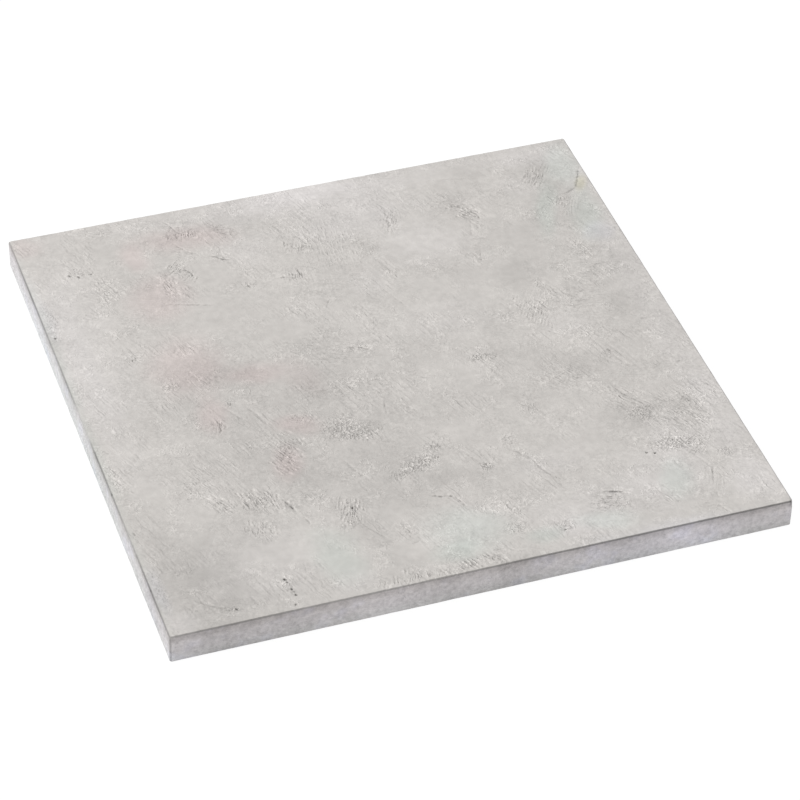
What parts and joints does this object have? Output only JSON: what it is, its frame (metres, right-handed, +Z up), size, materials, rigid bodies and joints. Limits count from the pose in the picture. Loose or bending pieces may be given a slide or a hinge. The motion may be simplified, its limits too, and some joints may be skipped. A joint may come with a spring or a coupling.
{
  "type": "concrete paving slab",
  "caption": "Square flat concrete paving slab with a trowelled wearing face, plain square sides and fine bevelled arrises, laid on a bed or pedestals as terrace or path paving.",
  "frame": {"origin": "middle of the bed face, the underside that the slab lies on", "axes": "+Z up out of the wearing face; X and Y along the two pairs of sides"},
  "size_m": [0.6, 0.6, 0.03],
  "materials": {
    "concrete": "matt pale grey concrete, trowelled, with faint pink and green-grey staining"
  },
  "bodies": {
    "root": {"paving_slab": "concrete"}
  },
  "joints": []
}
